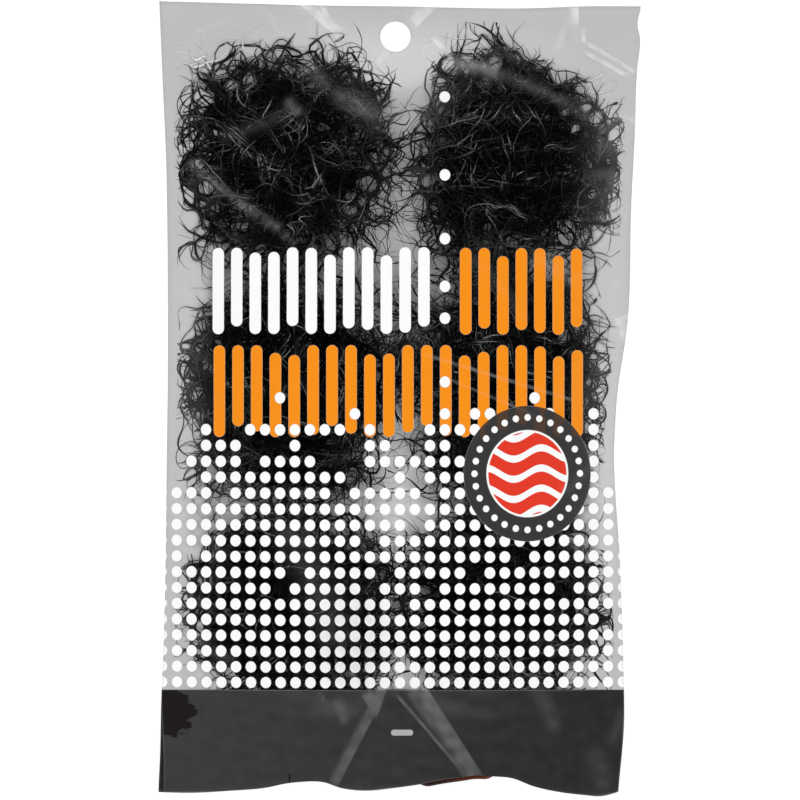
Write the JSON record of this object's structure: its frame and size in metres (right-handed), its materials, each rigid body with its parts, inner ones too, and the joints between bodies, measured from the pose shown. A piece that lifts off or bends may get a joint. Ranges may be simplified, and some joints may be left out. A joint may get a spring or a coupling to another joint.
{
  "type": "packet of dried arame",
  "caption": "Flat heat-sealed film packet with a clear printed front, a grey back and a hang hole, filled with tangled black strands of dried arame seaweed.",
  "frame": {"origin": "under the middle of the packet's outline, on the surface that the packet lies on", "axes": "+X to the right of the printed face, +Y towards the edge with the hang hole, +Z out of the printed face"},
  "size_m": [0.1304, 0.215, 0.0218],
  "materials": {
    "clear_film": "clear glossy film, printed",
    "grey_film": "opaque light grey film",
    "dried_arame": "satin, near black"
  },
  "bodies": {
    "root": {"film_front": "clear_film", "film_back": "grey_film", "arame_top_left": "dried_arame", "arame_top_right": "dried_arame", "arame_middle_left": "dried_arame", "arame_middle_right": "dried_arame", "arame_bottom_left": "dried_arame", "arame_bottom_right": "dried_arame"}
  },
  "joints": []
}
